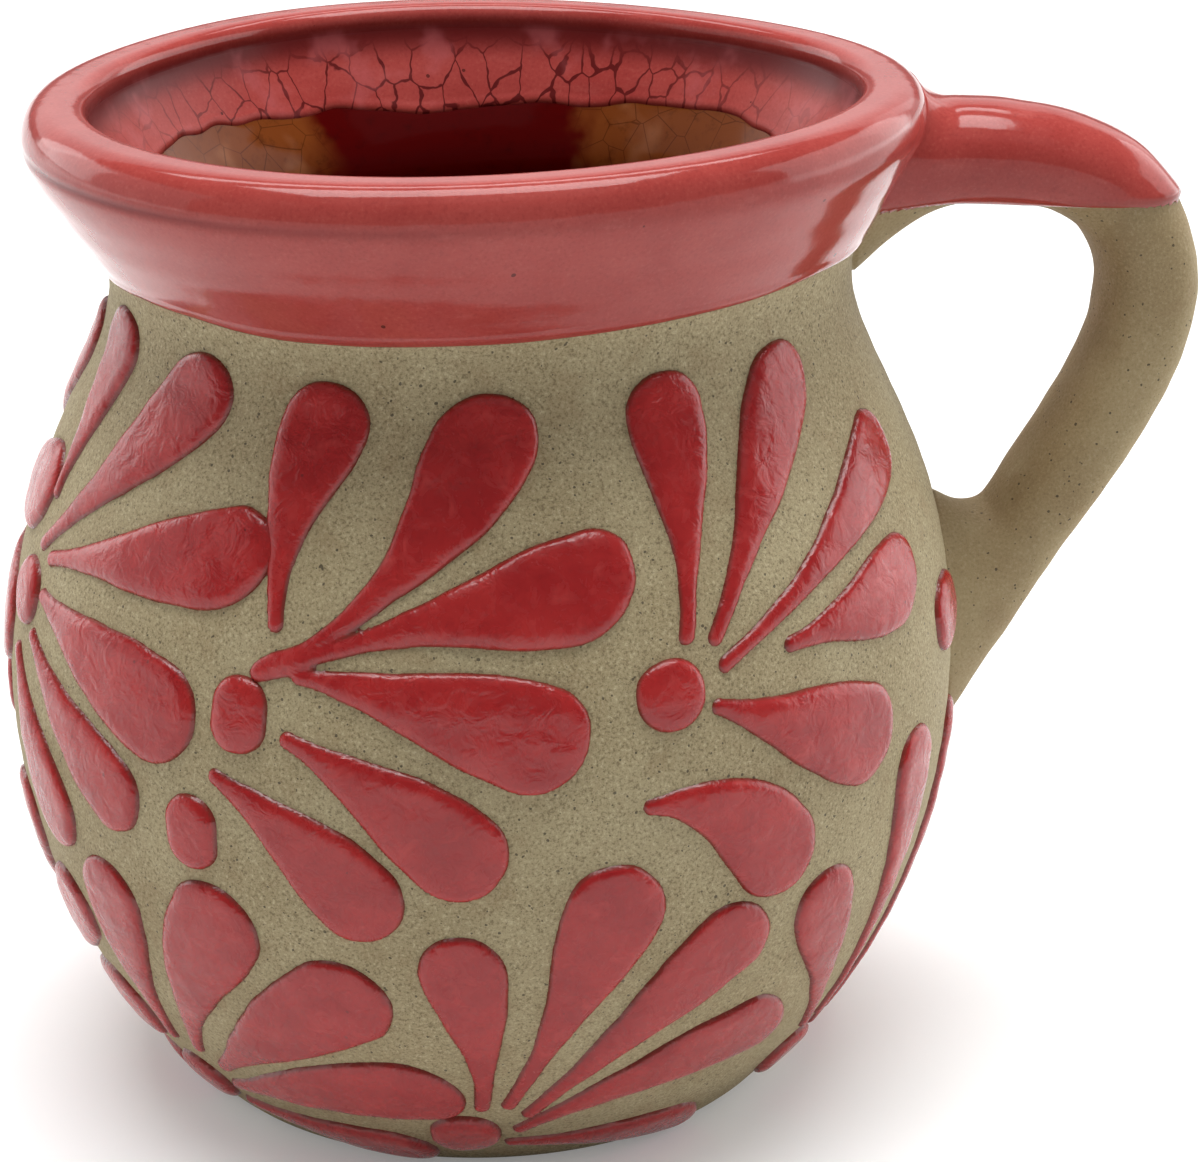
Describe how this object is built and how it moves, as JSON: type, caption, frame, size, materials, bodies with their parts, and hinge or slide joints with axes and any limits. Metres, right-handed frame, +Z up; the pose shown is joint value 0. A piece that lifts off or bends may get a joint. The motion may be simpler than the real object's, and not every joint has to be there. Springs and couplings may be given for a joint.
{
  "type": "clay mug",
  "caption": "Hand-thrown round-bellied clay mug (jarrito) with a flared glazed collar, a pulled side handle and raised teardrop-petal fans.",
  "frame": {"origin": "centre of the flat foot, on the table", "axes": "+Z up along the pot's axis, +X towards the handle, +Y away from the picture's viewer"},
  "size_m": [0.1156, 0.0925, 0.0965],
  "materials": {
    "clay": "unglazed grey-tan clay, matt, sandy",
    "coral_glaze": "glossy coral red glaze",
    "amber_glaze": "glossy dark amber glaze",
    "coral_slip": "raised strokes of coral red slip, satin gloss"
  },
  "bodies": {
    "root": {"clay_body": "clay", "handle": "clay", "rim_glaze": "coral_glaze", "handle_glaze": "coral_glaze", "liner_glaze": "amber_glaze", "upper_fan_1": "coral_slip", "upper_fan_2": "coral_slip", "upper_fan_3": "coral_slip", "upper_fan_4": "coral_slip", "upper_fan_5": "coral_slip", "upper_fan_6": "coral_slip", "upper_fan_7": "coral_slip", "lower_fan_1": "coral_slip", "lower_fan_2": "coral_slip", "lower_fan_3": "coral_slip", "lower_fan_4": "coral_slip", "lower_fan_5": "coral_slip", "lower_fan_6": "coral_slip", "lower_fan_7": "coral_slip", "lower_fan_8": "coral_slip", "upper_dots": "coral_slip", "lower_dots": "coral_slip", "oval_dots": "coral_slip"}
  },
  "joints": []
}
